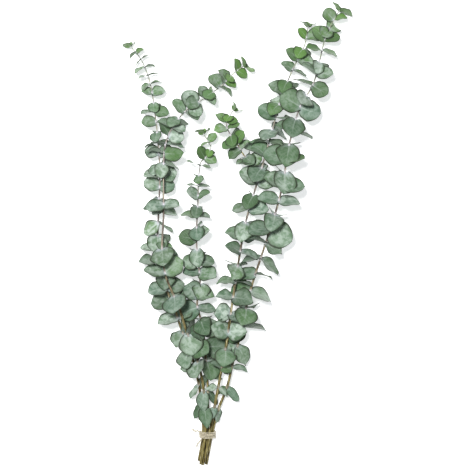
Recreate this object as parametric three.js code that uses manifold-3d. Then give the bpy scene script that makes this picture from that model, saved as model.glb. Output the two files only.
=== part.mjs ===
// A florist's bunch of eucalyptus: five long sprigs of round, blue-green leaves, tied near their cut
// ends with twine and laid down on a table. +Y runs from the cut ends to the tips, +Z is up from the
// table. Eucalyptus carries its young leaves in opposite pairs, without leaf stalks, and each pair is
// turned about a quarter turn from the last one. Lengths are millimetres and angles are degrees.

import * as THREE from "three";
import { mergeVertices } from "three/addons/utils/BufferGeometryUtils.js";
import Module from "manifold-3d";

const wasm = await Module();
wasm.setup();

// ---------------------------------------------------------------- driving dimensions

const GAP = 0.35; // clearance that pieces which touch keep between them
const WOODY_SIDES = 5;
const SOFT_SIDES = 4;
const WOODY_STEP = 15; // length of one straight piece of a woody stem's tube
const SOFT_STEP = 9; // and of the thinner, more curved shoot above it
const CLASP = 2; // thickness of the joined leaf bases that clasp a woody stem
const CLASP_LENGTH = 2.6;
const LEAF_THICKNESS = 1.0; // at the midrib; the rim is sharp
const ROOM = 0.5; // extra thickness that a leaf needs free around it
const LEAF_WIDTH = 1.2; // width of a round leaf over its length
const LOW_LEAF_WIDTH = 0.66; // the lowest leaves are narrower
const LOW_LEAF_LENGTH = 0.78; // and shorter
const TRIES = 110; // poses tried for one leaf before it is made smaller
const SHRINK = 0.85;
const TIP_BUD = 1.5; // from the tip to the first pair

const TIE_TO_CUT = 42; // bare stem below the tie
const TIE_TO_LEAF = 40; // from the tie to the lowest pair
const TIE_WIDTH = 11;
const TIE_INSIDE = 4; // from a stem's middle to the inside of the twine
const TIE_SIDES = 18;
const TWINE = 2.2; // thickness of the twine's wraps

// Routes run from the cut end to the tip, measured from the middle of the tie: x to the right,
// y towards the tips, z above the table.
//   radius   of the stem at its cut end and at its tip
//   leaf     length of a leaf near the tip, half way down and at the tie
//   spacing  between pairs near the tip, half way down and at the tie
//   woody    how many of the lowest pairs sit on the woody part, each a piece of its own
//   bare     length of stem below the lowest pair
//   pairs    the pose of every pair from the tip down, by its letter in POSES
const SPRIGS = {
  outer_right: {
    route: [
      [-1.8, -43, 3.2], [6.2, 0, 5.2], [15, 34, 8], [28, 68, 11], [36, 102, 15], [45, 136, 19],
      [60, 202, 25], [76, 253, 29], [92, 301, 32], [106, 354, 34], [115, 409, 34], [130, 462, 32],
      [150, 498, 28], [166, 559, 19], [178, 586, 14], [188, 603, 10],
    ],
    radius: [2.25, 0.7],
    leaf: [17, 30, 28],
    spacing: [14, 19, 34],
    woody: 10,
    bare: TIE_TO_CUT + TIE_TO_LEAF,
    pairs: "xbobeobrobolobobtoredetoedtdp",
  },
  inner_right: {
    route: [
      [-4.4, -40, 8.4], [3.2, 0, 10.2], [8, 28, 12.5], [14, 60, 15.5], [21, 98, 20], [28, 136, 24],
      [37, 199, 26], [47, 263, 26], [56, 308, 25], [75, 372, 24], [88, 417, 23], [103, 472, 21],
      [121, 518, 18], [137, 550, 15], [143, 580, 10],
    ],
    radius: [2.25, 0.7],
    leaf: [16, 27, 26],
    spacing: [13, 17, 29],
    woody: 9,
    bare: TIE_TO_CUT + TIE_TO_LEAF,
    pairs: "xbobtoboloeboborobloeetbotdp",
  },
  middle: {
    route: [
      [-6.9, -44, 3], [0, 0, 5], [1, 40, 7.5], [0, 79, 11], [-3, 115, 16], [-6, 152, 21],
      [-14, 186, 24], [-10, 218, 25], [-15, 274, 26], [-13, 330, 25], [-12, 365, 23],
      [-9, 386, 21], [-2, 393, 20], [5, 407, 17], [2, 414, 15], [-6, 428, 12],
    ],
    radius: [2.15, 0.6],
    leaf: [13, 21, 29],
    spacing: [11, 14, 25],
    woody: 9,
    bare: TIE_TO_CUT + TIE_TO_LEAF,
    pairs: "xrobeoeboeoboltoblobroedp",
  },
  arching: {
    route: [
      [-9.6, -42, 8.2], [-3.2, 0, 9.9], [-3.6, 35, 12.2], [-6, 70, 15.5], [-15, 112, 22], [-30, 151, 28],
      [-40, 183, 30], [-57, 223, 32], [-63, 262, 33], [-61, 309, 33], [-61, 349, 33],
      [-60, 400, 32], [-52, 428, 31], [-34, 454, 28], [-16, 468, 26], [2, 480, 23],
      [22, 496, 19], [37, 512, 15], [52, 524, 11],
    ],
    radius: [2.15, 0.6],
    leaf: [15, 24, 34],
    spacing: [12, 16, 24],
    woody: 8,
    bare: TIE_TO_CUT + TIE_TO_LEAF,
    pairs: "xbobtobobtotbero...r...o.b.o..oro.pp",
  },
  left: {
    route: [
      [-12.2, -38, 3], [-6.2, 0, 5.2], [-8, 35, 6.2], [-12, 70, 8.5], [-22, 111, 13], [-37, 151, 18],
      [-47, 183, 21], [-64, 223, 22], [-70, 262, 22], [-69, 307, 21], [-67, 363, 20],
      [-69, 409, 18], [-76, 470, 15], [-83, 505, 13], [-94, 532, 11], [-110, 552, 9],
    ],
    radius: [2.15, 0.6],
    leaf: [11, 21, 31],
    spacing: [11, 17, 29],
    woody: 9,
    bare: TIE_TO_CUT + TIE_TO_LEAF,
    pairs: "xreeeetorloebotbotdortotbeooldp",
  },
};

// A short branch of the inner right sprig.
const SIDE_SHOOT = {
  route: [
    [68, 368, 27], [59, 386, 29], [50, 398, 29], [43, 410, 28], [33, 424, 26], [27, 440, 22],
    [33, 454, 17], [38, 461, 14],
  ],
  radius: [1.2, 0.6],
  leaf: [13, 18, 19],
  spacing: [10, 12, 14],
  woody: 0,
  bare: 16,
  pairs: "xobtobtob",
};

// How the two leaves of a pair stand, as seen from above the table.
//   around  turn about the stem: 0 to its left, 90 straight up, 180 to its right, 270 to the table
//   lean    angle between the leaf and the way the stem grows: small clings to it, large droops
//   face    twist of the blade that turns its upper side to the sky
const POSES = {
  x: [{ around: 40, lean: 60, face: 20 }, { around: 215, lean: 60, face: 20 }], // closed young pair
  e: [{ around: 8, lean: 88, face: 14 }, { around: 172, lean: 88, face: 14 }], // seen edge on
  t: [{ around: 14, lean: 84, face: 45 }, { around: 168, lean: 84, face: 40 }], // half turned up
  b: [{ around: 20, lean: 70, face: 66 }, { around: 160, lean: 70, face: 66 }], // like a butterfly
  d: [{ around: 10, lean: 122, face: 25 }, { around: 170, lean: 122, face: 25 }], // drooping
  l: [{ around: 16, lean: 86, face: 68 }, { around: 174, lean: 96, face: 16 }], // left one turned up
  r: [{ around: 6, lean: 96, face: 16 }, { around: 164, lean: 86, face: 68 }], // right one turned up
  o: [{ around: 82, lean: 138, face: 6 }, { around: 265, lean: 92, face: 0 }], // one lies on top
  p: [{ around: 84, lean: 152, face: 4 }, { around: 262, lean: 120, face: 0 }], // hanging to the tie
};

const SKIN = {
  bark: { color: 0x77704f, roughness: 0.8 },
  green_stem: { color: 0x8f9a86, roughness: 0.7 },
  leaf: { color: 0x7f9c86, roughness: 0.65 },
  young_leaf: { color: 0x83a372, roughness: 0.6 },
  twine: { color: 0xcdbb98, roughness: 0.95 },
};

// ---------------------------------------------------------------- small helpers

const UP = new THREE.Vector3(0, 0, 1);
const rad = THREE.MathUtils.degToRad;
const { lerp } = THREE.MathUtils;

// A repeatable number from 0 to 1 for one thing and one of its traits.
function chance(thing, trait) {
  const wave = Math.sin(thing * 12.9898 + trait * 78.233) * 43758.5453;
  return wave - Math.floor(wave);
}

// A value given at the tip, half way and at the bottom, at t from 0 at the tip to 1 at the bottom.
function threeWay([tip, middle, bottom], t) {
  return t < 0.5 ? lerp(tip, middle, t * 2) : lerp(middle, bottom, t * 2 - 1);
}

function solid(geometry) {
  const bare = geometry.index ? geometry.toNonIndexed() : geometry.clone();
  bare.deleteAttribute("normal");
  bare.deleteAttribute("uv");
  const merged = mergeVertices(bare, 1e-4);
  return new wasm.Manifold(
    new wasm.Mesh({
      numProp: 3,
      vertProperties: merged.attributes.position.array,
      triVerts: new Uint32Array(merged.index.array),
    }),
  );
}

function geometryOf(manifold) {
  const mesh = manifold.getMesh();
  const geometry = new THREE.BufferGeometry();
  geometry.setAttribute("position", new THREE.BufferAttribute(mesh.vertProperties, 3));
  geometry.setIndex(new THREE.BufferAttribute(mesh.triVerts, 1));
  geometry.computeVertexNormals();
  return geometry;
}

// ---------------------------------------------------------------- stems

// The sprig's line, with the length of stem from the tip used to place things along it.
function lineOf(sprig) {
  const points = sprig.route.map((p) => new THREE.Vector3(...p));
  const curve = new THREE.CatmullRomCurve3(points, false, "catmullrom", 0.5);
  curve.arcLengthDivisions = 600;
  const length = curve.getLength();
  const [cutEnd, tip] = sprig.radius;
  return {
    length,
    at: (fromTip) => curve.getPointAt(1 - fromTip / length),
    along: (fromTip) => curve.getTangentAt(1 - fromTip / length),
    radius: (fromTip) => lerp(tip, cutEnd, (fromTip / length) ** 0.8),
  };
}

// A round tube along a line between two distances from its tip, tapered as the stem is and thicker all
// over by extra. Its section has the given number of sides.
function tube(line, from, to, sides, extra = 0) {
  const steps = Math.ceil((from - to) / (sides === SOFT_SIDES ? SOFT_STEP : WOODY_STEP));
  const rings = [];
  for (let i = 0; i <= steps; i++) rings.push(line.at(lerp(from, to, i / steps)));
  const path = new THREE.CatmullRomCurve3(rings, false, "catmullrom", 0.5);
  const corners = [];
  for (let i = 0; i < sides; i++) {
    const turn = (i / sides) * Math.PI * 2;
    corners.push(new THREE.Vector2(Math.cos(turn), Math.sin(turn)));
  }
  const geometry = new THREE.ExtrudeGeometry(new THREE.Shape(corners), {
    steps,
    bevelEnabled: false,
    extrudePath: path,
  });
  const centres = path.getSpacedPoints(steps);
  const position = geometry.attributes.position;
  const v = new THREE.Vector3();
  for (let i = 0; i < position.count; i++) {
    v.fromBufferAttribute(position, i);
    let nearest = 0;
    centres.forEach((c, k) => {
      if (c.distanceToSquared(v) < centres[nearest].distanceToSquared(v)) nearest = k;
    });
    const radius = line.radius(lerp(from, to, nearest / steps)) + extra;
    v.sub(centres[nearest]).multiplyScalar(radius).add(centres[nearest]);
    position.setXYZ(i, v.x, v.y, v.z);
  }
  return solid(geometry);
}

// ---------------------------------------------------------------- leaves

// Half outline of a blade: how far along the leaf, and how much of its half width.
const ROUND_BLADE = [[0.2, 0.72], [0.52, 1], [0.83, 0.68]];
const YOUNG_BLADE = [[0.3, 0.86], [0.7, 0.9]];

// One blade lies along +X with its upper side to +Z: a flat lens, thickest in its middle and sharp at
// its rim, whose sides are cupped up and whose tip bends down. It starts as a point at start, or
// startWidth wide to each side, and the outline behind that is left off.
function bladeGeometry({ outline, length, width, thickness, cup, bend, start, startWidth }) {
  const side = outline.map(([along, across]) => [along * length, (across * width) / 2]);
  const kept = side.filter(([x]) => x > start + 0.5);
  if (startWidth > 0) kept.unshift([start, startWidth]);
  const rim = [...kept, [length, 0], ...kept.map(([x, y]) => [x, -y]).reverse()];
  if (startWidth === 0) rim.push([start, 0]);
  const vertices = rim.flatMap(([x, y]) => [x, y, cup * Math.abs(y) - bend * length * (x / length) ** 2]);
  const middle = (start + length) / 2;
  vertices.push(middle, 0, thickness / 2, middle, 0, -thickness / 2);
  const [top, under] = [rim.length, rim.length + 1];
  const faces = rim.flatMap((_, i) => {
    const next = (i + 1) % rim.length;
    return [next, i, top, i, next, under];
  });
  const geometry = new THREE.BufferGeometry();
  geometry.setAttribute("position", new THREE.Float32BufferAttribute(vertices, 3));
  geometry.setIndex(faces);
  return geometry;
}

// The leaf's own frame on the stem: X along the leaf, Z out of its upper side.
function leafFrame(line, fromTip, { around, lean, face }) {
  const along = line.along(fromTip);
  const up = UP.clone().addScaledVector(along, -UP.dot(along)).normalize();
  const left = new THREE.Vector3().crossVectors(up, along);
  const out = left.multiplyScalar(Math.cos(rad(around))).addScaledVector(up, Math.sin(rad(around)));
  const axis = along.clone().multiplyScalar(Math.cos(rad(lean)));
  axis.addScaledVector(out, Math.sin(rad(lean)));
  const upper = along.clone().multiplyScalar(Math.sin(rad(lean)));
  upper.addScaledVector(out, -Math.cos(rad(lean)));
  const side = new THREE.Vector3().crossVectors(axis, upper);
  const turn = side.z < 0 ? -face : face;
  upper.multiplyScalar(Math.cos(rad(turn))).addScaledVector(side, Math.sin(rad(turn)));
  side.crossVectors(upper, axis);
  return new THREE.Matrix4().makeBasis(axis, side, upper).setPosition(line.at(fromTip));
}

// How far from the tip each pair sits: the spacing grows down the sprig, and is stretched a little
// so that the last pair comes out at the end of the leafy length.
function stationsOf(sprig, leafy) {
  const stations = [TIP_BUD];
  while (stations.length < sprig.pairs.length) {
    const last = stations[stations.length - 1];
    stations.push(last + threeWay(sprig.spacing, Math.min(1, last / leafy)));
  }
  const stretch = (leafy - TIP_BUD) / (stations[stations.length - 1] - TIP_BUD);
  return stations.map((at) => TIP_BUD + (at - TIP_BUD) * stretch);
}

// Every leaf of a sprig, from its pairs' letters.
function leavesOf(name, sprig, line, seed) {
  const leafy = line.length - sprig.bare;
  const count = sprig.pairs.length;
  const leaves = [];
  stationsOf(sprig, leafy).forEach((fromTip, pair) => {
    const letter = sprig.pairs[pair];
    if (letter === ".") return;
    const grown = (fromTip / leafy) ** 0.7;
    POSES[letter].forEach((pose, which) => {
      const thing = seed + pair * 2 + which;
      const woody = pair >= count - sprig.woody;
      const low = woody && pair >= count - 3;
      const full = threeWay(sprig.leaf, grown) * lerp(0.84, 1.14, chance(thing, 1));
      const length = low ? full * LOW_LEAF_LENGTH : full;
      leaves.push({
        sprig: name,
        line,
        pair,
        fromTip,
        woody,
        length,
        width: length * (low ? LOW_LEAF_WIDTH : LEAF_WIDTH) * lerp(0.86, 1.12, chance(thing, 2)),
        cup: lerp(0.1, 0.3, chance(thing, 3)),
        bend: lerp(-0.04, 0.14, chance(thing, 4)),
        pose: {
          around: pose.around + lerp(-18, 18, chance(thing, 5)),
          lean: pose.lean + lerp(-17, 17, chance(thing, 6)),
          face: pose.face + lerp(-20, 20, chance(thing, 7)),
        },
        order: pose.around > 200 ? 2 : pose.around > 60 && pose.around < 120 ? 0 : 1,
      });
    });
  });
  return leaves;
}

// A leaf's solid, which starts as a point in the middle of the stem. outer leaves its base off.
function leafSolid(leaf, pose, { scale = 1, thickness = LEAF_THICKNESS, outer = false } = {}) {
  const clasp = leaf.line.radius(leaf.fromTip) + CLASP;
  const length = leaf.length * scale;
  const geometry = bladeGeometry({
    outline: leaf.woody ? ROUND_BLADE : YOUNG_BLADE,
    length,
    width: leaf.width * scale,
    thickness,
    cup: leaf.cup,
    bend: leaf.bend,
    start: outer ? Math.min(clasp + 2, length * 0.4) : 0,
    startWidth: outer ? clasp : 0,
  });
  geometry.applyMatrix4(leafFrame(leaf.line, leaf.fromTip, pose));
  return solid(geometry);
}

// ---------------------------------------------------------------- finding room for the leaves

const placed = []; // { solid, box, owner }, the pieces that a new leaf must clear

function place(piece, owner) {
  placed.push({ solid: piece, box: piece.boundingBox(), owner });
}

function meets(piece, box, other) {
  const apart = [0, 1, 2].some((k) => box.min[k] > other.box.max[k] || box.max[k] < other.box.min[k]);
  if (apart) return false;
  return !piece.intersect(other.solid).isEmpty();
}

function isFree(leaf, pose, scale) {
  const whole = leafSolid(leaf, pose, { scale, thickness: LEAF_THICKNESS + ROOM });
  const box = whole.boundingBox();
  if (box.min[2] < 0) return false;
  const own = new Set([leaf.sprig, leaf.sprig + leaf.pair]);
  if (placed.some((other) => !own.has(other.owner) && meets(whole, box, other))) return false;
  const outer = leafSolid(leaf, pose, { scale, thickness: LEAF_THICKNESS + ROOM, outer: true });
  return !placed.some((other) => own.has(other.owner) && meets(outer, box, other));
}

// Turns the leaf, a little more at each try, until nothing touches it, then makes it smaller.
function settle(leaf) {
  for (let scale = 1; scale > 0.5; scale *= SHRINK) {
    for (let k = 0; k < TRIES; k++) {
      const far = 5.5 * Math.sqrt(k);
      const pose = {
        around: leaf.pose.around + far * Math.cos(k * 2.4),
        lean: leaf.pose.lean + far * Math.sin(k * 2.4),
        face: leaf.pose.face + far * Math.sin(k * 1.1),
      };
      if (isFree(leaf, pose, scale)) return leafSolid(leaf, pose, { scale });
    }
  }
  return null;
}

// ---------------------------------------------------------------- leaf pairs on the woody stem

// The ring of the joined leaf bases round the stem.
function ringSolid(line, fromTip, extra = 0) {
  const half = CLASP_LENGTH / 2 + extra;
  return tube(line, fromTip + half, fromTip - half, WOODY_SIDES, CLASP + extra);
}

// The one or two leaves of a pair and their ring, clear of the stem and of the neighbouring sprigs'
// stems and rings. The cuts' loose crumbs are dropped.
function pairSolid(line, leaves, neighbours) {
  let pair = ringSolid(line, leaves[0].fromTip);
  leaves.forEach((leaf) => {
    pair = pair.add(leaf.solid);
  });
  pair = pair.subtract(tube(line, line.length, 0, WOODY_SIDES, GAP));
  const box = pair.boundingBox();
  neighbours.forEach((other) => {
    if (meets(pair, box, other)) pair = pair.subtract(other.solid);
  });
  return pair.decompose().reduce((a, b) => (a.volume() > b.volume() ? a : b));
}

// ---------------------------------------------------------------- the twine

// Outline round a set of stems at the tie, a distance out from their centres.
function roundStems(centres, distance) {
  const points = [];
  for (let k = 0; k < TIE_SIDES; k++) {
    const turn = (k / TIE_SIDES) * Math.PI * 2;
    const n = new THREE.Vector2(Math.cos(turn), Math.sin(turn));
    const far = centres.reduce((a, b) => (b.dot(n) > a.dot(n) ? b : a));
    points.push(far.clone().addScaledVector(n, distance));
  }
  return points;
}

function twineSolid(lines) {
  const centres = lines.map(({ line }) => {
    let fromTip = line.length;
    while (line.at(fromTip).y < 0) fromTip -= 0.5;
    const p = line.at(fromTip);
    return new THREE.Vector2(p.x, p.z);
  });
  const band = new THREE.Shape(roundStems(centres, TIE_INSIDE + TWINE));
  band.holes.push(new THREE.Path(roundStems(centres, TIE_INSIDE)));
  const wraps = new THREE.ExtrudeGeometry(band, { depth: TIE_WIDTH, bevelEnabled: false });
  wraps.translate(0, 0, -TIE_WIDTH / 2).rotateX(Math.PI / 2);
  const top = Math.max(...centres.map((c) => c.y)) + TIE_INSIDE + TWINE;
  const knot = new THREE.IcosahedronGeometry(3.2, 1);
  knot.scale(1.3, 1, 0.8).translate(-6, 1, top - 1);
  let twine = solid(wraps).add(solid(knot));
  const ends = [
    [[-6, 1, top], [-13, 6, top + 1], [-19, 5, top - 3], [-22, 10, top - 8]],
    [[-6, 1, top], [-8, -6, top + 1.5], [-14, -11, top - 2], [-16, -18, top - 8]],
  ];
  ends.forEach((route) => {
    const end = lineOf({ route, radius: [1.1, 0.8] });
    twine = twine.add(tube(end, end.length, 0, SOFT_SIDES));
  });
  return twine;
}

// ---------------------------------------------------------------- assembly

const bunch = new THREE.Group();

function addNode(parent, name, manifold, skin) {
  const material = new THREE.MeshStandardMaterial({ ...SKIN[skin], metalness: 0 });
  const mesh = new THREE.Mesh(geometryOf(manifold), material);
  mesh.name = name;
  parent.add(mesh);
}

const lines = Object.entries(SPRIGS).map(([name, sprig]) => ({ name, sprig, line: lineOf(sprig) }));
const sideLine = lineOf(SIDE_SHOOT);
const shoots = [...lines, { name: "side_shoot", sprig: SIDE_SHOOT, line: sideLine }];

shoots.forEach((shoot, k) => {
  shoot.leaves = leavesOf(shoot.name, shoot.sprig, shoot.line, 100 * k);
  place(tube(shoot.line, shoot.line.length, 0, SOFT_SIDES, GAP * 2), shoot.name);
});
shoots.forEach(({ name, leaves, line }) => {
  leaves.forEach((leaf) => {
    if (leaf.woody) place(ringSolid(line, leaf.fromTip, GAP), name + leaf.pair);
  });
});
place(twineSolid(lines), "twine");
const fixed = placed.slice();

const all = shoots.flatMap((shoot) => shoot.leaves).sort((a, b) => a.order - b.order);
all.forEach((leaf) => {
  leaf.solid = settle(leaf);
  if (leaf.solid) place(leaf.solid, leaf.sprig + leaf.pair);
});

shoots.forEach(({ name, sprig, line, leaves }) => {
  const group = new THREE.Group();
  bunch.add(group);
  const standing = leaves.filter((leaf) => leaf.solid);
  const soft = standing.filter((leaf) => !leaf.woody);
  const woody = standing.filter((leaf) => leaf.woody);
  let join = line.length;
  if (sprig.woody) {
    const lastSoft = Math.max(...leaves.filter((leaf) => !leaf.woody).map((leaf) => leaf.fromTip));
    const firstWoody = Math.min(...leaves.filter((leaf) => leaf.woody).map((leaf) => leaf.fromTip));
    join = (lastSoft + firstWoody) / 2;
    addNode(group, name + "_stem", tube(line, line.length, join + GAP, WOODY_SIDES), "bark");
  }
  let top = tube(line, join, 0, SOFT_SIDES);
  soft.forEach((leaf) => {
    top = top.add(leaf.solid);
  });
  addNode(group, name + (sprig.woody ? "_top" : ""), top, "young_leaf");
  const pairs = [...new Set(woody.map((leaf) => leaf.pair))].sort((a, b) => b - a);
  pairs.forEach((pair, k) => {
    const number = String(k + 1).padStart(2, "0");
    const neighbours = fixed.filter(({ owner }) => owner !== name && owner !== name + pair);
    const joined = pairSolid(line, woody.filter((leaf) => leaf.pair === pair), neighbours);
    addNode(group, name + "_leaves_" + number, joined, "leaf");
  });
});
addNode(bunch, "twine", twineSolid(lines), "twine");

// The part's origin is the middle of the underside of its box.
const box = new THREE.Box3().setFromObject(bunch);
const middle = box.getCenter(new THREE.Vector3());
bunch.position.set(-middle.x, -middle.y, -box.min.z);

const group = new THREE.Group();
group.add(bunch);
export default group;
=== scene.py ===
# A florist's bunch of eucalyptus, laid down on a table: five long sprigs and a side shoot of round,
# blue-green leaves, tied near their cut ends with twine. Lengths are metres, +Y runs from the cut
# ends to the tips and +Z is up. Each blade grows where the frame holds its plain leaf, and each stem
# runs along the route of its frame stem.

import math
import random

import bmesh
import bpy
import numpy as np
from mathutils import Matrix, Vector


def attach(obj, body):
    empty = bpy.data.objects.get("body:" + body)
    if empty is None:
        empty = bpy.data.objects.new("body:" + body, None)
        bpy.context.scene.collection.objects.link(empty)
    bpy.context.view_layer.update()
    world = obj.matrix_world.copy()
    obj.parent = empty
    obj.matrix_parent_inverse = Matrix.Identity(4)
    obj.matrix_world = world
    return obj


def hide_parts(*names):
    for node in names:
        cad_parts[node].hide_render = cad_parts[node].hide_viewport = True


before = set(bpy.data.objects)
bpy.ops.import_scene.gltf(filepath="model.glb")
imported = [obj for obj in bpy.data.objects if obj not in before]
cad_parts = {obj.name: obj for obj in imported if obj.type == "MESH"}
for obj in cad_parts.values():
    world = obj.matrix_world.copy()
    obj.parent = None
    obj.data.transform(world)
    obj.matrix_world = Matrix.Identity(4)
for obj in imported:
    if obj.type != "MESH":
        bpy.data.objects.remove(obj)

bpy.context.view_layer.update()
MM = 0.001

# ---------------------------------------------------------------- driving dimensions

FRAME_LEAF_THICKNESS = 1.0 * MM  # between the two middle points of a leaf in the frame
FRAME_MERGE = 0.004 * MM  # the frame's loose triangles are joined up within this
FRAME_SLACK = 0.01 * MM
BASE_TO_LINE = 0.3 * MM  # a leaf's base lies this near its stem's line
SMALLEST_LEAF = 4 * MM
END_SLICE = 5 * MM  # length of frame stem that its cut end is read from
ROUTE_STEPS = 160  # points on the smooth line between two route points
STEM_RING = 3.0 * MM  # spacing of a stem's sections
STEM_SIDES = 10
STEM_TAPER = 0.8  # below 1, a stem stays thick for most of its length
STEM_END = 1.2 * MM  # a shoot's stem stops this far short of its line's end
BARK_RING = 0.18  # of a cut end's radius
WOOD_RING = 0.55
NODE_SWELL = 0.55 * MM  # how much a stem thickens where a pair of leaves joins it
NODE_LENGTH = 2.2 * MM

BLADE_ACROSS = 6  # faces across a blade and along it
BLADE_ALONG = 8
BLADE_THICKNESS = 0.34 * MM
BLADE_GROWTH = 1.05  # a real blade bulges this much past its plain leaf's corners
BUD_LEAF = 8.0 * MM
BUD_INSET = 1.5 * MM  # the bud leaves start this far below the tip
BUD_LEAN = math.radians(38)
MIDRIB_THICKNESS = 0.75 * MM

TWINE_THICKNESS = 2.1 * MM
TWINE_TURNS = 5
TWINE_TWIST = 7.5 * MM  # length of one twist of its plies
PLY_SIDES = 7
LOOSE_END = 12 * MM  # a loose end comes untwisted over this length
LOOSE_TAPER = 4 * MM  # and thins over this one
FIBRE_RADIUS = 0.09 * MM
FIBRE_REACH = (1.0 * MM, 2.8 * MM)
TIE_WIDTH = 11 * MM
TIE_REACH = 5.2 * MM  # from an outer stem's middle to the middle of the twine on it

VIEW_MIDDLE = (39.2, 283.4)  # what the camera looks at, from the middle of the tie, in mm
VIEW_WIDTH = 0.664
LENS = 100
SENSOR = 36
KEY_LIGHT = {"place": (-0.42, 0.5, 2.3), "size": 0.5, "power": 68}
FILL_LIGHT = {"place": (1.4, -0.6, 1.5), "size": 1.6, "power": 3}
STUDIO_STRENGTH = 0.3
TABLE_SIZE = 30  # it fills the view from a low angle too
TABLE_GLOW = 0.55  # how much of its own light the table gives

# Routes run from the cut end to the tip, in mm from the middle of the tie.
SPRIGS = {
    "outer_right": {
        "route": [
            (-1.8, -43, 3.2), (6.2, 0, 5.2), (15, 34, 8), (28, 68, 11), (36, 102, 15),
            (45, 136, 19), (60, 202, 25), (76, 253, 29), (92, 301, 32), (106, 354, 34),
            (115, 409, 34), (130, 462, 32), (150, 498, 28), (166, 559, 19), (178, 586, 14),
            (188, 603, 10),
        ],
        "radius": (2.25, 0.7),
        "silver": 0.52,
    },
    "inner_right": {
        "route": [
            (-4.4, -40, 8.4), (3.2, 0, 10.2), (8, 28, 12.5), (14, 60, 15.5), (21, 98, 20),
            (28, 136, 24), (37, 199, 26), (47, 263, 26), (56, 308, 25), (75, 372, 24),
            (88, 417, 23), (103, 472, 21), (121, 518, 18), (137, 550, 15), (143, 580, 10),
        ],
        "radius": (2.25, 0.7),
        "silver": 0.54,
    },
    "middle": {
        "route": [
            (-6.9, -44, 3), (0, 0, 5), (1, 40, 7.5), (0, 79, 11), (-3, 115, 16), (-6, 152, 21),
            (-14, 186, 24), (-10, 218, 25), (-15, 274, 26), (-13, 330, 25), (-12, 365, 23),
            (-9, 386, 21), (-2, 393, 20), (5, 407, 17), (2, 414, 15), (-6, 428, 12),
        ],
        "radius": (2.15, 0.6),
        "silver": 0.5,
    },
    "arching": {
        "route": [
            (-9.6, -42, 8.2), (-3.2, 0, 9.9), (-3.6, 35, 12.2), (-6, 70, 15.5), (-15, 112, 22),
            (-30, 151, 28), (-40, 183, 30), (-57, 223, 32), (-63, 262, 33), (-61, 309, 33),
            (-61, 349, 33), (-60, 400, 32), (-52, 428, 31), (-34, 454, 28), (-16, 468, 26),
            (2, 480, 23), (22, 496, 19), (37, 512, 15), (52, 524, 11),
        ],
        "radius": (2.15, 0.6),
        "silver": 0.52,
    },
    "left": {
        "route": [
            (-12.2, -38, 3), (-6.2, 0, 5.2), (-8, 35, 6.2), (-12, 70, 8.5), (-22, 111, 13),
            (-37, 151, 18), (-47, 183, 21), (-64, 223, 22), (-70, 262, 22), (-69, 307, 21),
            (-67, 363, 20), (-69, 409, 18), (-76, 470, 15), (-83, 505, 13), (-94, 532, 11),
            (-110, 552, 9),
        ],
        "radius": (2.15, 0.6),
        "silver": 0.62,
    },
    "side_shoot": {
        "route": [
            (68, 368, 27), (59, 386, 29), (50, 398, 29), (43, 410, 28), (33, 424, 26),
            (27, 440, 22), (33, 454, 17), (38, 461, 14),
        ],
        "radius": (1.2, 0.6),
        "silver": 0.4,
    },
}

# ---------------------------------------------------------------- small helpers


def paint(hex_colour):
    """An sRGB hex value as linear red, green, blue and alpha."""
    parts = [int(hex_colour[i : i + 2], 16) / 255 for i in (1, 3, 5)]
    linear = [c / 12.92 if c <= 0.04045 else ((c + 0.055) / 1.055) ** 2.4 for c in parts]
    return (*linear, 1.0)


def blend(a, b, t):
    return a + (b - a) * t


def hump(distance, width):
    """1 at no distance, falling smoothly to nothing at a few widths."""
    return math.exp(-((distance / width) ** 2))


def deselect():
    if bpy.context.mode != "OBJECT":
        bpy.ops.object.mode_set(mode="OBJECT")
    bpy.ops.object.select_all(action="DESELECT")


def own_copy(master, name):
    """A copy of a modelled piece with its own mesh."""
    piece = master.copy()
    piece.data = master.data.copy()
    piece.name = name
    bpy.context.scene.collection.objects.link(piece)
    return piece


def join(pieces, name):
    deselect()
    for piece in pieces:
        piece.select_set(True)
    bpy.context.view_layer.objects.active = pieces[0]
    if len(pieces) > 1:
        bpy.ops.object.join()
    pieces[0].name = name
    pieces[0].data.name = name
    deselect()
    return pieces[0]


def corners(piece):
    return np.array([v.co for v in piece.data.vertices])


def reshape(piece, places):
    piece.data.vertices.foreach_set("co", np.asarray(places, np.float32).ravel())
    piece.data.update()


def note(piece, name, values):
    """Writes one number for each corner of the piece, for its material to read."""
    attribute = piece.data.attributes.new(name, "FLOAT", "POINT")
    attribute.data.foreach_set("value", np.asarray(values, np.float32))


def settle(piece, node_names, finishes):
    """The finished piece: its materials, its body and the frame nodes it stands for."""
    piece.data.materials.clear()
    for finish in finishes:
        piece.data.materials.append(finish)
    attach(piece, "root")
    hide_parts(*node_names)
    return piece


# ---------------------------------------------------------------- lines


def smooth_line(points):
    """A smooth line through the points, as closely spaced places."""
    p = np.array(points, float)
    first = 2 * p[0] - p[1]
    last = 2 * p[-1] - p[-2]
    p = np.vstack([first, p, last])
    places = []
    for k in range(1, len(p) - 2):
        a = 0.5 * (p[k + 1] - p[k - 1])
        b = 0.5 * (p[k + 2] - p[k])
        for i in range(ROUTE_STEPS):
            t = i / ROUTE_STEPS
            places.append(
                (2 * t**3 - 3 * t**2 + 1) * p[k]
                + (t**3 - 2 * t**2 + t) * a
                + (3 * t**2 - 2 * t**3) * p[k + 1]
                + (t**3 - t**2) * b
            )
    places.append(p[-2])
    return np.array(places)


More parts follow.
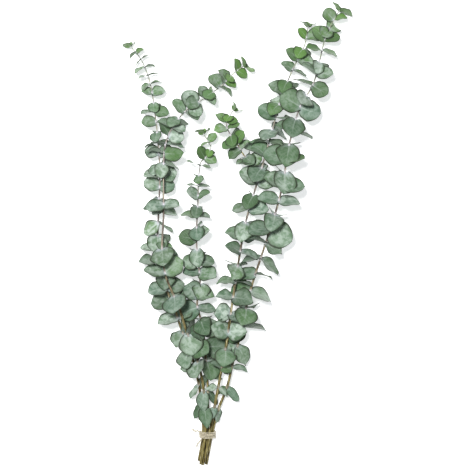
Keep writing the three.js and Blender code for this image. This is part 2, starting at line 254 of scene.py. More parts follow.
class Line:
    """A line with the length along it, and at each place a forward, a side and an up direction."""

    def __init__(self, places):
        self.places = places
        steps = np.linalg.norm(np.diff(places, axis=0), axis=1)
        self.run = np.concatenate([[0], np.cumsum(steps)])
        self.length = self.run[-1]
        forward = np.gradient(places, self.run, axis=0)
        self.forward = forward / np.linalg.norm(forward, axis=1)[:, None]
        up = np.array([0.0, 0.0, 1.0])
        if abs(self.forward[0] @ up) > 0.9:
            up = np.array([1.0, 0.0, 0.0])
        ups = []
        for f in self.forward:
            up = up - f * (up @ f)
            up = up / np.linalg.norm(up)
            ups.append(up)
        self.up = np.array(ups)

    def at(self, table, along):
        return np.array([np.interp(along, self.run, table[:, k]) for k in range(3)]).T

    def nearest(self, place):
        """How far along the line the place is, and how far from it."""
        gap = np.linalg.norm(self.places - place, axis=1)
        k = int(gap.argmin())
        return self.run[k], gap[k]


def tube_along(line, start, end, sides, ring, radius, name):
    """A cylinder cut into rings and laid along the line, with the radius given along it."""
    deselect()
    bpy.ops.mesh.primitive_cylinder_add(vertices=sides, radius=1, depth=1, end_fill_type="NGON")
    piece = bpy.context.active_object
    bpy.ops.object.mode_set(mode="EDIT")
    bpy.ops.mesh.select_all(action="DESELECT")
    cage = bmesh.from_edit_mesh(piece.data)
    for edge in cage.edges:
        a, b = edge.verts
        edge.select = abs(a.co.z - b.co.z) > 0.5
    bmesh.update_edit_mesh(piece.data)
    cuts = max(1, round((end - start) / ring))
    bpy.ops.mesh.subdivide(number_cuts=cuts)
    deselect()
    straight = corners(piece)
    along = blend(start, end, straight[:, 2] + 0.5)
    wide = np.array([radius(s) for s in along])
    forward = line.at(line.forward, along)
    up = line.at(line.up, along)
    side = np.cross(up, forward)
    places = line.at(line.places, along)
    places += side * (straight[:, 0] * wide)[:, None] + up * (straight[:, 1] * wide)[:, None]
    reshape(piece, places)
    piece.name = name
    piece.data.name = name
    face_out(piece)
    for face in piece.data.polygons:
        face.use_smooth = len(face.vertices) == 4
    return piece, along


def face_out(piece):
    """Points every face of a closed piece outwards."""
    deselect()
    piece.select_set(True)
    bpy.context.view_layer.objects.active = piece
    bpy.ops.object.mode_set(mode="EDIT")
    bpy.ops.mesh.select_all(action="SELECT")
    bpy.ops.mesh.normals_make_consistent(inside=False)
    deselect()


# ---------------------------------------------------------------- the stems' lines in the frame


def cut_end(node_name):
    """The middle of a frame stem's cut end, the lowest section along Y."""
    places = np.array([v.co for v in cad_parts[node_name].data.vertices])
    end = places[places[:, 1] < places[:, 1].min() + END_SLICE]
    return np.unique(np.round(end, 6), axis=0).mean(axis=0)


MAIN = [name for name in SPRIGS if name != "side_shoot"]
TIE_MIDDLE = np.mean(
    [cut_end(name + "_stem") - np.array(SPRIGS[name]["route"][0]) * MM for name in MAIN], axis=0
)
for sprig in SPRIGS.values():
    sprig["line"] = Line(smooth_line(sprig["route"]) * MM + TIE_MIDDLE)


def stem_radius(sprig, along):
    cut, tip = sprig["radius"]
    from_tip = 1 - along / sprig["line"].length
    return blend(tip, cut, max(0, from_tip) ** STEM_TAPER) * MM


# ---------------------------------------------------------------- the frame's leaves


def leaves_in(node_name, line):
    """Each plain leaf of a frame node: its base on the stem's line, its own axes and its size.

    A frame leaf has one middle point on its upper side and one under it, a leaf's thickness apart,
    and both join the same rim. Its tip is the rim point that lies as far beyond the middle as the
    stem's line lies behind it.
    """
    mesh = bmesh.new()
    mesh.from_mesh(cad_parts[node_name].data)
    bmesh.ops.remove_doubles(mesh, verts=mesh.verts, dist=FRAME_MERGE)
    mesh.verts.ensure_lookup_table()
    around = [{e.other_vert(v).index for e in v.link_edges} for v in mesh.verts]
    places = [np.array(v.co) for v in mesh.verts]
    found = []
    for a in range(len(places)):
        second = set().union(*(around[k] for k in around[a])) - {a}
        for b in second:
            apart = np.linalg.norm(places[a] - places[b])
            if b <= a or abs(apart - FRAME_LEAF_THICKNESS) > FRAME_SLACK:
                continue
            rim = around[a] & around[b]
            if len(rim) < 3:
                continue
            middle = (places[a] + places[b]) / 2
            upper = (places[a] - places[b]) / apart
            best = None
            for k in rim:
                reach = places[k] - middle
                flat = reach - upper * (reach @ upper)
                base = middle - flat
                along, gap = line.nearest(base)
                if gap < BASE_TO_LINE and (best is None or gap < best[0]):
                    best = (gap, along, base, flat, reach @ upper)
            if best is None:
                continue
            _, along, base, flat, drop = best
            length = 2 * np.linalg.norm(flat)
            if length < SMALLEST_LEAF:
                continue
            axis = flat / np.linalg.norm(flat)
            side = np.cross(upper, axis)
            sides = [places[k] - base for k in rim]
            raised = sum(s @ upper - drop * ((s @ axis) / length) ** 2 for s in sides)
            if raised < 0:
                upper, side, drop = -upper, -side, -drop
            across = max(abs(s @ side) for s in sides)
            widest = max(sides, key=lambda s: abs(s @ side))
            rise = widest @ upper - drop * ((widest @ axis) / length) ** 2
            found.append(
                {
                    "along": along,
                    "base": base,
                    "axis": axis,
                    "side": side,
                    "upper": upper,
                    "length": length,
                    "width": 2 * across,
                    "cup": abs(rise) / across,
                    "bend": -drop / length,
                }
            )
    mesh.free()
    return found


# ---------------------------------------------------------------- finishes


def new_finish(name):
    finish = bpy.data.materials.new(name)
    finish.use_nodes = True
    finish.node_tree.nodes.clear()
    return finish, finish.node_tree


def add(tree, kind, settings=None, links=None):
    """Adds a node and gives its outputs. Settings are its inputs' values or its own options."""
    made = tree.nodes.new(kind)
    for key, value in (settings or {}).items():
        if isinstance(key, int) or key in made.inputs:
            made.inputs[key].default_value = value
        else:
            setattr(made, key, value)
    for key, source in (links or {}).items():
        tree.links.new(source, made.inputs[key])
    return made.outputs


def leaf_finish():
    """Young eucalyptus leaf: a matt, waxy skin whose silver bloom lies in patches over the green.

    The midrib and side veins are paler than the blade, and the margin is a thin dark line.
    """
    finish, tree = new_finish("eucalyptus_leaf_waxy_bloom")
    place = add(tree, "ShaderNodeTexCoord")["Object"]
    uv = add(tree, "ShaderNodeUVMap", {"uv_map": "blade"})[0]
    across, along, _ = add(tree, "ShaderNodeSeparateXYZ", None, {0: uv})
    got = {}
    for name in ("youth", "tone", "silver", "upper", "edge", "shade"):
        got[name] = add(tree, "ShaderNodeAttribute", {"attribute_name": name})["Fac"]
    for name, size, detail, distortion in (("mottled", 7, 4.0, 0.6), ("fine", 1.4, 3.0, 0.0)):
        settings = {"Scale": 1 / (size * MM), "Detail": detail, "Distortion": distortion}
        got[name] = add(tree, "ShaderNodeTexNoise", settings, {"Vector": place})["Fac"]

    # How far from the midrib, and the side veins that slant from it towards the tip.
    off = add(tree, "ShaderNodeMath", {"operation": "SUBTRACT", 1: 0.5}, {0: across})[0]
    off = add(tree, "ShaderNodeMath", {"operation": "ABSOLUTE"}, {0: off})[0]
    slant = add(tree, "ShaderNodeMath", {"operation": "MULTIPLY", 1: 9.0}, {0: along})[0]
    outward = add(tree, "ShaderNodeMath", {"operation": "MULTIPLY", 1: 7.0}, {0: off})[0]
    slant = add(tree, "ShaderNodeMath", {"operation": "SUBTRACT"}, {0: slant, 1: outward})[0]
    uneven = {"operation": "MULTIPLY_ADD", 1: 0.7}
    slant = add(tree, "ShaderNodeMath", uneven, {0: got["mottled"], 2: slant})[0]
    slant = add(tree, "ShaderNodeMath", {"operation": "PINGPONG", 1: 0.5}, {0: slant})[0]

    # Numbers carried smoothly from one range to another.
    for name, source, low, high, to_low, to_high in (
        ("bloom", got["mottled"], 0.3, 0.7, 0.12, 1.25),
        ("chalk", along, 0.0, 0.34, 0.9, 0.0),
        ("under", got["upper"], 0.4, 0.6, 0.45, 0.0),
        ("speckle", got["fine"], 0.45, 0.8, 0.0, 0.35),
        ("vein", slant, 0.0, 0.12, 0.16, 0.0),
        ("vein_reach", off, 0.3, 0.48, 1.0, 0.0),
        ("rib_width", along, 0.0, 1.0, 0.036, 0.012),
        ("rib_reach", along, 0.15, 0.8, 0.34, 0.05),
        ("margin", got["edge"], 0.45, 0.95, 0.0, 0.62),
        ("rim", got["edge"], 0.78, 0.96, 0.0, 0.9),
        ("roughness", got["mottled"], 0.3, 0.75, 0.5, 0.68),
    ):
        settings = {"interpolation_type": "SMOOTHSTEP", 1: low, 2: high, 3: to_low, 4: to_high}
        got[name] = add(tree, "ShaderNodeMapRange", settings, {0: source})[0]
    near_rib = add(tree, "ShaderNodeMath", {"operation": "DIVIDE"}, {0: off, 1: got["rib_width"]})[0]
    settings = {"interpolation_type": "SMOOTHSTEP", 1: 0.4, 2: 1.4, 3: 1.0, 4: 0.0}
    got["rib"] = add(tree, "ShaderNodeMapRange", settings, {0: near_rib})[0]
    for name, first, second in (
        ("bloom", "bloom", "silver"),
        ("chalk", "chalk", "silver"),
        ("vein", "vein", "vein_reach"),
        ("rib", "rib", "rib_reach"),
    ):
        links = {0: got[first], 1: got[second]}
        got[name] = add(tree, "ShaderNodeMath", {"operation": "MULTIPLY"}, links)[0]

    green = {"data_type": "RGBA", 6: paint("#45683a"), 7: paint("#4e6c5a")}
    colour = add(tree, "ShaderNodeMix", green, {0: got["tone"]})[2]
    for name, layer in (
        ("youth", "#628d3c"),
        ("bloom", "#b1c0b3"),
        ("shade", "#314a2a"),
        ("chalk", "#c6cbd8"),
        ("under", "#75866f"),
        ("speckle", "#46623f"),
        ("vein", "#aebca5"),
        ("rib", "#bcc8bf"),
        ("margin", "#3b5334"),
        ("rim", "#262f1b"),
    ):
        settings = {"data_type": "RGBA", 7: paint(layer)}
        colour = add(tree, "ShaderNodeMix", settings, {0: got[name], 6: colour})[2]

    # The veins are sunk into the blade, and the bloom is slightly grainy.
    sunk = add(tree, "ShaderNodeMath", {"operation": "ADD"}, {0: got["rib"], 1: got["vein"]})[0]
    grainy = {"operation": "MULTIPLY_ADD", 1: -2.4}
    height = add(tree, "ShaderNodeMath", grainy, {0: sunk, 2: got["fine"]})[0]
    bump = add(tree, "ShaderNodeBump", {"Distance": 0.13 * MM, "Strength": 1.0}, {"Height": height})
    waxy = {"IOR": 1.45, "Specular IOR Level": 0.42, "Sheen Weight": 0.12, "Sheen Roughness": 0.5}
    links = {"Base Color": colour, "Roughness": got["roughness"], "Normal": bump[0]}
    shader = add(tree, "ShaderNodeBsdfPrincipled", waxy, links)
    add(tree, "ShaderNodeOutputMaterial", None, {"Surface": shader[0]})
    return finish


def stem_finish():
    """Eucalyptus stem: thin green skin near the tip, then purplish brown under a chalky bloom that
    gathers at the joints, then smooth olive-brown bark with lengthwise streaks. The dark streaks are
    partly painted shade, made near-black to stand for the shade between the stems, and the pale ones
    are partly painted highlight. A cut end shows pale wood round a darker pith.
    """
    finish, tree = new_finish("eucalyptus_stem_bark_and_bloom")
    place = add(tree, "ShaderNodeTexCoord")["Object"]
    got = {}
    for name in ("age", "joint", "cut"):
        got[name] = add(tree, "ShaderNodeAttribute", {"attribute_name": name})["Fac"]
    drawn_out = {"Scale": (1.0, 0.045, 1.0)}
    lengthwise = add(tree, "ShaderNodeMapping", drawn_out, {"Vector": place})[0]
    for name, where, size, detail in (("streaks", lengthwise, 1.2, 5.0), ("patches", place, 6, 3.0)):
        settings = {"Scale": 1 / (size * MM), "Detail": detail}
        got[name] = add(tree, "ShaderNodeTexNoise", settings, {"Vector": where})["Fac"]
    for name, source, low, high, to_low, to_high in (
        ("brown", "age", 0.0, 0.3, 0.0, 1.0),
        ("bark", "age", 0.45, 0.75, 0.0, 1.0),
        # The bark's own streaks, with the dark ones made near-black as painted shade between the stems
        # and the pale ones made cream as painted highlight.
        ("dark", "streaks", 0.45, 0.64, 0.0, 0.95),
        ("pale", "streaks", 0.45, 0.3, 0.0, 0.7),
        ("chalk_reach", "age", 0.5, 0.85, 1.0, 0.25),
        ("chalk_patches", "age", 0.1, 0.6, 0.35, 0.0),
        ("wood", "cut", 0.05, 0.2, 0.0, 1.0),
        ("pith", "cut", 0.7, 0.9, 0.0, 1.0),
        ("roughness", "streaks", 0.3, 0.7, 0.55, 0.75),
    ):
        settings = {"interpolation_type": "SMOOTHSTEP", 1: low, 2: high, 3: to_low, 4: to_high}
        got[name] = add(tree, "ShaderNodeMapRange", settings, {0: got[source]})[0]
    chalk = add(
        tree, "ShaderNodeMath", {"operation": "MULTIPLY"}, {0: got["chalk_patches"], 1: got["patches"]}
    )[0]
    links = {0: got["joint"], 1: got["chalk_reach"], 2: chalk}
    got["chalk"] = add(tree, "ShaderNodeMath", {"operation": "MULTIPLY_ADD"}, links)[0]
    skin = {"data_type": "RGBA", 6: paint("#76895a"), 7: paint("#7b6f63")}
    colour = add(tree, "ShaderNodeMix", skin, {0: got["brown"]})[2]
    for name, layer in (
        ("bark", "#7a6f3b"),
        # Near-black streak colour is partly painted shade, and cream streak colour is partly painted
        # highlight.
        ("dark", "#2b2110"),
        ("pale", "#d6cfa8"),
        ("chalk", "#cfcbd2"),
        ("wood", "#cdbf94"),
        ("pith", "#7d6a3f"),
    ):
        settings = {"data_type": "RGBA", 7: paint(layer)}
        colour = add(tree, "ShaderNodeMix", settings, {0: got[name], 6: colour})[2]
    uneven = {"operation": "MULTIPLY_ADD", 1: 0.5}
    height = add(tree, "ShaderNodeMath", uneven, {0: got["patches"], 2: got["streaks"]})[0]
    bump = add(tree, "ShaderNodeBump", {"Distance": 0.3 * MM, "Strength": 1.0}, {"Height": height})
    links = {"Base Color": colour, "Roughness": got["roughness"], "Normal": bump[0]}
    shader = add(tree, "ShaderNodeBsdfPrincipled", {"IOR": 1.45, "Specular IOR Level": 0.4}, links)
    add(tree, "ShaderNodeOutputMaterial", None, {"Surface": shader[0]})
    return finish


def twine_finish():
    """Jute twine: pale straw fibres that run along each ply, with browner patches."""
    finish, tree = new_finish("jute_twine")
    uv = add(tree, "ShaderNodeUVMap", {"uv_map": "ply"})[0]
    # A ply's map is one unit round and metres along, so this draws fibres about half a millimetre
    # apart round the ply and four millimetres long. Real ones are finer than would show.
    drawn_out = {"Scale": (7.0, 260.0, 1.0)}
    lengthwise = add(tree, "ShaderNodeMapping", drawn_out, {"Vector": uv})[0]
    fibres = add(tree, "ShaderNodeTexNoise", {"Scale": 1.0, "Detail": 4.0}, {"Vector": lengthwise})[0]
    place = add(tree, "ShaderNodeTexCoord")["Object"]
    settings = {"Scale": 1 / (5 * MM), "Detail": 3.0}
    patches = add(tree, "ShaderNodeTexNoise", settings, {"Vector": place})[0]
    got = {}
    for name, source, low, high, to_low, to_high in (
        ("pale", fibres, 0.25, 0.75, 0.0, 1.0),
        ("brown", patches, 0.35, 0.8, 0.0, 0.35),
        ("roughness", fibres, 0.3, 0.7, 0.8, 0.95),
    ):
        settings = {"interpolation_type": "SMOOTHSTEP", 1: low, 2: high, 3: to_low, 4: to_high}
        got[name] = add(tree, "ShaderNodeMapRange", settings, {0: source})[0]
    straw = {"data_type": "RGBA", 6: paint("#877c5f"), 7: paint("#e2dac3")}
    colour = add(tree, "ShaderNodeMix", straw, {0: got["pale"]})[2]
    settings = {"data_type": "RGBA", 7: paint("#c5b994")}
    colour = add(tree, "ShaderNodeMix", settings, {0: got["brown"], 6: colour})[2]
    bump = add(tree, "ShaderNodeBump", {"Distance": 0.2 * MM, "Strength": 1.0}, {"Height": fibres})
    hairy = {"IOR": 1.45, "Specular IOR Level": 0.25, "Sheen Weight": 0.3, "Sheen Roughness": 0.6}
    links = {"Base Color": colour, "Roughness": got["roughness"], "Normal": bump[0]}
    shader = add(tree, "ShaderNodeBsdfPrincipled", hairy, links)
    add(tree, "ShaderNodeOutputMaterial", None, {"Surface": shader[0]})
    return finish


def table_finish():
    """White light table: a matt, evenly lit sheet that softens the shadows on it."""
    finish, tree = new_finish("white_light_table")
    place = add(tree, "ShaderNodeTexCoord")["Object"]
    soft = add(tree, "ShaderNodeTexNoise", {"Scale": 2.5}, {"Vector": place})[0]
    whites = {"data_type": "RGBA", 6: paint("#f4f4f3"), 7: paint("#f7f7f6")}
    colour = add(tree, "ShaderNodeMix", whites, {0: soft})[2]
    matt = {
        "Roughness": 0.9,
        "Specular IOR Level": 0.1,
        "Emission Color": paint("#fbfcff"),
        "Emission Strength": TABLE_GLOW,
    }
    shader = add(tree, "ShaderNodeBsdfPrincipled", matt, {"Base Color": colour})
    add(tree, "ShaderNodeOutputMaterial", None, {"Surface": shader[0]})
    return finish


LEAF = leaf_finish()
STEM = stem_finish()
JUTE = twine_finish()
TABLE = table_finish()

# ---------------------------------------------------------------- leaves


def blade_master():
    """A flat blade sheet with an upper and an under side, one across and one along."""
    deselect()
    bpy.ops.mesh.primitive_grid_add(x_subdivisions=BLADE_ACROSS, y_subdivisions=BLADE_ALONG, size=2)
    master = bpy.context.active_object
    deselect()
    master.select_set(True)
    bpy.context.view_layer.objects.active = master
    thick = master.modifiers.new("thickness", "SOLIDIFY")
    thick.thickness = 0.1
    thick.offset = 0
    bpy.ops.object.modifier_apply(modifier=thick.name)
    layer = master.data.uv_layers[0]
    layer.name = "blade"
    for loop in master.data.loops:
        co = master.data.vertices[loop.vertex_index].co
        layer.uv[loop.index].vector = (co.x / 2 + 0.5, co.y / 2 + 0.5)
    for face in master.data.polygons:
        face.use_smooth = True
    return master


MASTER = blade_master()
FLAT = corners(MASTER)


def half_outline(t, peak, base_power, tip_power):
    """Half width of a blade over its widest half, from its base at 0 to its tip at 1."""
    if t < peak:
        round_part = max(0.0, 1 - (1 - t / peak) ** 2) ** base_power
        return max(round_part, 0.3 * (1 - t / peak))
    return max(0.0, 1 - ((t - peak) / (1 - peak)) ** 2) ** tip_power


def grow_blade(leaf, luck, young, narrow):
    """One leaf on its plain leaf's axes: rounded, folded along its midrib, waved at its margin."""
    blade = own_copy(MASTER, "blade")
    length = leaf["length"] * BLADE_GROWTH
    width = leaf["width"] * BLADE_GROWTH
    peak = luck.uniform(0.42, 0.54)
    base_power = luck.uniform(0.4, 0.56)
    tip_power = luck.uniform(0.5, 0.66) if young else luck.uniform(0.55, 0.95)
    fold = [leaf["cup"] * luck.uniform(0.2, 2.3) for _ in range(2)]
    waves = [luck.uniform(0.9, 2.3) for _ in range(2)]
    swing = luck.uniform(0.03, 0.11) * (0.7 if young else 1.0)
    phase = [luck.uniform(0, 2 * math.pi) for _ in range(4)]
    ragged = luck.uniform(0.04, 0.13)
    twist = math.radians(luck.uniform(-24, 24))
    skew = luck.uniform(-0.07, 0.07)
    curl = luck.uniform(-0.05, 0.24)
    point = luck.uniform(0.01, 0.06)
    lobe = 0.0 if narrow else luck.uniform(0.03, 0.1)
    places = []
    edges = []
    for x, y, z in FLAT:
        t = 0.5 - 0.5 * math.cos(math.pi * (y / 2 + 0.5))
        side = 0 if x < 0 else 1
        rim = abs(x)
        half = half_outline(t, peak, base_power, tip_power) * width / 2
        half *= 1 + ragged * math.sin(2 * math.pi * (waves[side] * 1.3) * t + phase[side + 2])
        u = math.sin(x * math.pi / 2) * 0.35 + x * 0.65
        along = t * length - lobe * length * u * u * max(0.0, 1 - t / 0.5) ** 2
        along += point * length * hump(x, 0.3) * max(0.0, t - 0.8) / 0.2
        across = u * half + skew * width * math.sin(math.pi * t)
        lift = fold[side] * (math.hypot(across, 0.06 * width) - 0.06 * width)
        lift -= leaf["bend"] * length * t * t
        lift -= curl * length * max(0.0, t - 0.55) ** 2 * 4
        lift += swing * length * rim**2 * math.sin(2 * math.pi * waves[side] * t + phase[side])
        turned = twist * t
        across, lift = (
            across * math.cos(turned) - lift * math.sin(turned),
            across * math.sin(turned) + lift * math.cos(turned),
        )
        thick = blend(MIDRIB_THICKNESS, BLADE_THICKNESS, min(1.0, rim * 3)) * blend(1.0, 0.5, t)
        lift += math.copysign(thick / 2, z) * (1 - 0.8 * rim**6)
        place = leaf["base"] + leaf["axis"] * along + leaf["side"] * across + leaf["upper"] * lift
        place[2] = max(place[2], BLADE_THICKNESS)
        places.append(place)
        edges.append(max(rim, abs(2 * t - 1) ** 6 if t > 0.5 else 0.0))
    reshape(blade, places)
    count = len(places)
    from_tip = leaf["from_tip"]
    silver = leaf["silver"] + luck.uniform(-0.4, 0.4) - 0.35 * hump(from_tip, 60 * MM)
    note(blade, "edge", edges)
    note(blade, "upper", [1.0 if z > 0 else 0.0 for _, _, z in FLAT])
    note(blade, "youth", [max(hump(from_tip, 75 * MM), luck.uniform(-0.35, 0.4))] * count)
    note(blade, "tone", [luck.uniform(0.0, 1.0)] * count)
    note(blade, "shade", [luck.uniform(0.0, 1.0) ** 2 * 0.6] * count)
    note(blade, "silver", [min(1.0, max(0.03, silver))] * count)
    return blade


def bud_leaves(owner, luck):
    """The two smallest leaves of a sprig, still half closed round its growing tip."""
    line = SPRIGS[owner]["line"]
    forward = line.forward[-1]
    base = line.places[-1] - forward * BUD_INSET
    out = np.cross(forward, np.array([0.0, 0.0, 1.0]))
    out = out / np.linalg.norm(out)
    leaves = []
    for way in (-1, 1):
        axis = forward * math.cos(BUD_LEAN) + out * way * math.sin(BUD_LEAN)
        upper = np.cross(np.cross(axis, np.array([0.0, 0.0, 1.0]) + forward * 0.6), axis)
        upper = upper / np.linalg.norm(upper)
        leaves.append(
            {
                "base": base,
                "axis": axis,
                "side": np.cross(upper, axis),
                "upper": upper,
                "length": BUD_LEAF * luck.uniform(0.8, 1.1),
                "width": BUD_LEAF * 0.9,
                "cup": 0.3,
                "bend": 0.05,
                "along": line.length,
            }
        )
    return leaves


leaf_nodes = {}
for node_name in sorted(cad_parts):
    owner = next((s for s in SPRIGS if node_name.startswith(s)), None)
    if owner and not node_name.endswith("_stem"):
        leaf_nodes[node_name] = (owner, leaves_in(node_name, SPRIGS[owner]["line"]))

for order, (node_name, (owner, leaves)) in enumerate(leaf_nodes.items()):
    sprig = SPRIGS[owner]
    luck = random.Random(100 + order)
    sprig.setdefault("joints", []).extend(leaf["along"] for leaf in leaves)
    blades = []
    at_tip = node_name.endswith("_top") or owner == node_name
    for leaf in leaves + (bud_leaves(owner, luck) if at_tip else []):
        leaf["from_tip"] = sprig["line"].length - leaf["along"]
        leaf["silver"] = sprig["silver"]
        young = "_leaves_" not in node_name
        narrow = leaf["width"] < 0.85 * leaf["length"]
        blades.append(grow_blade(leaf, luck, young, narrow))
    piece = join(blades, node_name.replace("_leaves_", "_blades_").replace("_top", "_young_blades"))
    if owner == "side_shoot":
        piece.name = "side_shoot_blades"
    rounder = piece.modifiers.new("rounder", "SUBSURF")
    rounder.levels = 1
    rounder.render_levels = 1
    settle(piece, [node_name], [LEAF])
bpy.data.objects.remove(MASTER)

# ---------------------------------------------------------------- stems


def inset_cut_end(stem, line, radius):
    """Rings on a stem's cut end for its bark, wood and pith."""
    deselect()
    stem.select_set(True)
    bpy.context.view_layer.objects.active = stem
    bpy.ops.object.mode_set(mode="EDIT")
    bpy.ops.mesh.select_all(action="DESELECT")
    cage = bmesh.from_edit_mesh(stem.data)
    cut_face = min(cage.faces, key=lambda f: (f.calc_center_median() - Vector(line.places[0])).length)
    cut_face.select = True
    cage.select_flush_mode()
    bmesh.update_edit_mesh(stem.data)
    bpy.ops.mesh.inset(thickness=radius * BARK_RING)
    bpy.ops.mesh.inset(thickness=radius * WOOD_RING)
    deselect()


def grow_stem(owner, start, end, name, node_name):
    sprig = SPRIGS[owner]
    line = sprig["line"]
    joints = sorted(set(round(j, 4) for j in sprig["joints"]))

    def swell(s):
        return max((hump(s - j, NODE_LENGTH) for j in joints), default=0.0)

    def radius(s):
        thin = 0.45 if s < line.length * 0.5 else 0.8
        return stem_radius(sprig, s) + NODE_SWELL * thin * swell(s)

    stem, along = tube_along(line, start, end, STEM_SIDES, STEM_RING, radius, name)
    cut = np.zeros(len(along))
    if start == 0.0:
        inset_cut_end(stem, line, radius(0.0))
        from_middle = np.linalg.norm(corners(stem) - line.places[0], axis=1)
        cut = np.clip(1 - from_middle / radius(0.0), 0, 1)
        along = np.concatenate([along, np.zeros(len(cut) - len(along))])
    note(stem, "age", [1 - s / line.length for s in along])
    note(stem, "joint", [swell(s) for s in along])
    note(stem, "cut", cut)
    settle(stem, [node_name], [STEM])
    return stem


def join_place(owner):
    """How far along its line a sprig's frame stem ends."""
    line = SPRIGS[owner]["line"]
    places = np.array([v.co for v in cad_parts[owner + "_stem"].data.vertices])
    top = places[places[:, 1] > places[:, 1].max() - 1 * MM].mean(axis=0)
    return line.nearest(top)[0]


for owner in SPRIGS:
    length = SPRIGS[owner]["line"].length
    if owner == "side_shoot":
        grow_stem(owner, 0.0, length - STEM_END, "side_shoot_stalk", "side_shoot")
        continue
    middle = join_place(owner)
    grow_stem(owner, 0.0, middle, owner + "_bark", owner + "_stem")
    grow_stem(owner, middle, length - STEM_END, owner + "_shoot", owner + "_top")

# ---------------------------------------------------------------- twine


def tie_outline():
    """The rounded outline of the five stems where they are tied, as places in the X and Z plane."""
    centres = []
    for owner in MAIN:
        line = SPRIGS[owner]["line"]
        k = int(np.abs(line.places[:, 1] - TIE_MIDDLE[1]).argmin())
        centres.append(line.places[k][[0, 2]])
    outline = []
    for k in range(72):
        turn = 2 * math.pi * k / 72
        n = np.array([math.cos(turn), math.sin(turn)])
        far = max(centres, key=lambda c: c @ n)
        outline.append(far + n * TIE_REACH)
    outline = np.array(outline)
    for _ in range(4):
        outline = (np.roll(outline, 1, 0) + 2 * outline + np.roll(outline, -1, 0)) / 4
    return outline


def wraps():
    """The twine's turns round the stems, each lying beside the last one."""
    outline = tie_outline()
    count = len(outline)
    luck = random.Random(7)
    lean = [luck.uniform(-0.5, 0.5) * MM for _ in range(TWINE_TURNS + 2)]
    places = []
    for k in range(TWINE_TURNS * count + 1):
        x, z = outline[k % count]
        turn = k / count
        y = blend(-0.5, 0.5, turn / TWINE_TURNS) * (TIE_WIDTH - TWINE_THICKNESS)
        near = int(turn)
        y += blend(lean[near], lean[near + 1], turn - near)
        places.append((x, TIE_MIDDLE[1] + y, z))
    return np.array(places)


def unwrap_ply(piece, run, sides):
    """Gives a ply its own map: round it on one axis, metres along it on the other."""
    layer = piece.data.uv_layers[0]
    layer.name = "ply"
    for loop in piece.data.loops:
        corner = loop.vertex_index
        layer.uv[loop.index].vector = ((corner % sides) / sides, run[corner])


def twisted(line, name, thickness=TWINE_THICKNESS, untwist=0.0):
    """Two plies laid round each other along a line."""
    plies = []
    steps = max(8, int(line.length / (TWINE_TWIST / 10)))
    for ply in range(2):
        along = np.linspace(0, line.length, steps)
        turn = 2 * math.pi * along / TWINE_TWIST + math.pi * ply
        up, forward = line.at(line.up, along), line.at(line.forward, along)
        side = np.cross(up, forward)
        loosen = 1 + untwist * np.clip((along - line.length + LOOSE_END) / LOOSE_END, 0, 1)
        reach = (thickness * 0.25 * loosen)[:, None]
        places = line.at(line.places, along)
        places = places + (side * np.cos(turn)[:, None] + up * np.sin(turn)[:, None]) * reach
        path = Line(places)
        tip = path.length

        def radius(s):
            into_end = max(0.0, (s - tip + LOOSE_TAPER) / LOOSE_TAPER) if untwist > 0 else 0.0
            return thickness * 0.27 * (1 - 0.5 * into_end)

        piece, run = tube_along(path, 0, tip, PLY_SIDES, TWINE_TWIST / 9, radius, name)
        unwrap_ply(piece, run, PLY_SIDES)
        plies.append(piece)
    return plies


outline = tie_outline()
knot_top = max(p[1] for p in outline)
knot = TIE_MIDDLE + np.array([-6, 1, 0]) * MM
knot[2] = knot_top + 0.6 * MM
paths = [Line(wraps())]

overhand = []
for k in range(97):
    t = 2 * math.pi * k / 96
    overhand.append(
        knot
        + np.array([
            (math.sin(t) + 2 * math.sin(2 * t)) * 1.45,
            (math.cos(t) - 2 * math.cos(2 * t)) * 1.15,
            -math.sin(3 * t) * 1.0 + 0.6,
        ]) * MM
    )
paths.append(Line(np.array(overhand)))

for route in (
    [(-6, 1, 1), (-9.5, 4.5, 2.6), (-13.5, 6.5, 1.2), (-18, 5.5, -4), (-22, 8.5, -8.5)],
    [(-6, 1, 1), (-7.5, -3.5, 2.6), (-10.5, -8.5, 1.2), (-14, -13, -4), (-16, -18, -9)],
):
    loose = smooth_line([np.array(p) * MM + np.array([*TIE_MIDDLE[:2], knot_top]) for p in route])
    paths.append(Line(loose[:: ROUTE_STEPS // 20]))

strands = []
for path in paths:
    strands += twisted(path, "strand", untwist=0.7 if path in paths[2:] else 0.0)


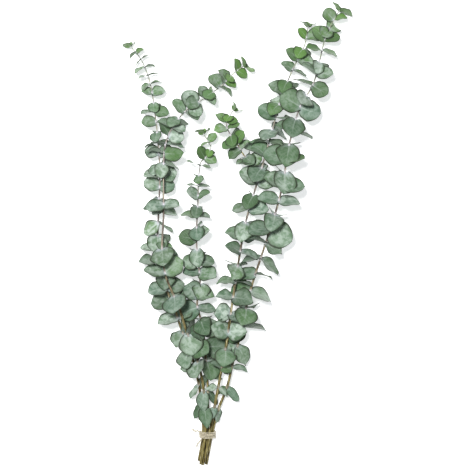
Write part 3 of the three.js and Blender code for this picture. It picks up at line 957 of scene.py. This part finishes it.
def stray_fibres(line, count, luck):
    """Short fine fibres that stand off the twine."""
    fibres = []
    for _ in range(count):
        along = luck.uniform(0, line.length)
        root = line.at(line.places, along)
        up, forward = line.at(line.up, along), line.at(line.forward, along)
        side = np.cross(up, forward)
        turn = luck.uniform(0, 2 * math.pi)
        out = side * math.cos(turn) + up * math.sin(turn)
        bow = forward * luck.uniform(-1, 1)
        reach = luck.uniform(*FIBRE_REACH)
        places = np.array([
            root + out * TWINE_THICKNESS * 0.3,
            root + out * (TWINE_THICKNESS * 0.4 + reach * 0.4) + bow * reach * 0.3,
            root + out * (TWINE_THICKNESS * 0.4 + reach * 0.7) + bow * reach,
        ])
        if places[:, 2].min() < 1 * MM:
            continue
        path = Line(smooth_line(places)[:: ROUTE_STEPS // 4])
        fibre, run = tube_along(path, 0, path.length, 3, path.length / 5, lambda s: FIBRE_RADIUS, "fibre")
        unwrap_ply(fibre, run, 3)
        fibres.append(fibre)
    return fibres


for path, count in zip(paths, (90, 22, 26, 26)):
    strands += stray_fibres(path, count, random.Random(count))
twine_piece = join(strands, "jute_twine")
settle(twine_piece, ["twine"], [JUTE])

# ---------------------------------------------------------------- table, lights and camera


deselect()
bpy.ops.mesh.primitive_plane_add(size=TABLE_SIZE, location=(0, 0, 0))
table = bpy.context.active_object
table.name = "table"
table.data.materials.append(TABLE)


def soft_light(name, place, size, power):
    """A round soft light that faces the middle of the table."""
    bpy.ops.object.light_add(type="AREA", location=place)
    light = bpy.context.active_object
    light.name = name
    light.data.shape = "DISK"
    light.data.size = size
    light.data.energy = power
    light.rotation_mode = "QUATERNION"
    light.rotation_quaternion = (-Vector(place)).to_track_quat("-Z", "Y")


soft_light("key_light", **KEY_LIGHT)
soft_light("fill_light", **FILL_LIGHT)

surroundings = bpy.data.worlds.new("pale_studio")
bpy.context.scene.world = surroundings
surroundings.use_nodes = True
studio = surroundings.node_tree.nodes["Background"]
studio.inputs["Color"].default_value = paint("#f2f5f8")
studio.inputs["Strength"].default_value = STUDIO_STRENGTH

aim = TIE_MIDDLE + np.array([*VIEW_MIDDLE, 0]) * MM
height = VIEW_WIDTH / 2 / (SENSOR / 2 / LENS)
bpy.ops.object.camera_add(location=(aim[0], aim[1], height + 0.02), rotation=(0, 0, 0))
camera = bpy.context.active_object
camera.name = "camera"
camera.data.lens = LENS
camera.data.sensor_width = SENSOR
camera.data.clip_end = 60
bpy.context.scene.camera = camera
bpy.context.scene.view_settings.view_transform = "Standard"

bpy.context.view_layer.update()
